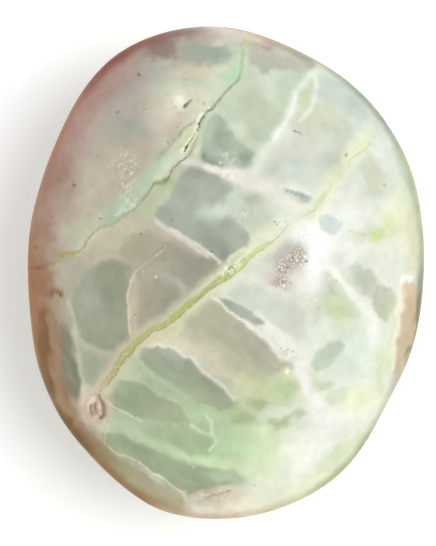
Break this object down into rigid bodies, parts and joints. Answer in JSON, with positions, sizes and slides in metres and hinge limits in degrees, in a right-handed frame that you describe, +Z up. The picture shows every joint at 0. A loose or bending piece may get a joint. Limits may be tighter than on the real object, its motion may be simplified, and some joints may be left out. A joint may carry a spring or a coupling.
{
  "type": "tumbled green moonstone",
  "caption": "Loose tumbled pebble of green moonstone, a softly uneven oval with veined, lightly pitted faces, lying on its worn flat side.",
  "frame": {"origin": "middle of the outline, on the surface that the stone lies on", "axes": "+Z up out of the broad face, +Y along the stone's length, +X across it"},
  "size_m": [0.048, 0.0596, 0.0278],
  "materials": {
    "moonstone": "tumble-polished stone, satin gloss, milky and slightly translucent, with matt pits and seams"
  },
  "bodies": {
    "root": {"moonstone": "moonstone"}
  },
  "joints": []
}
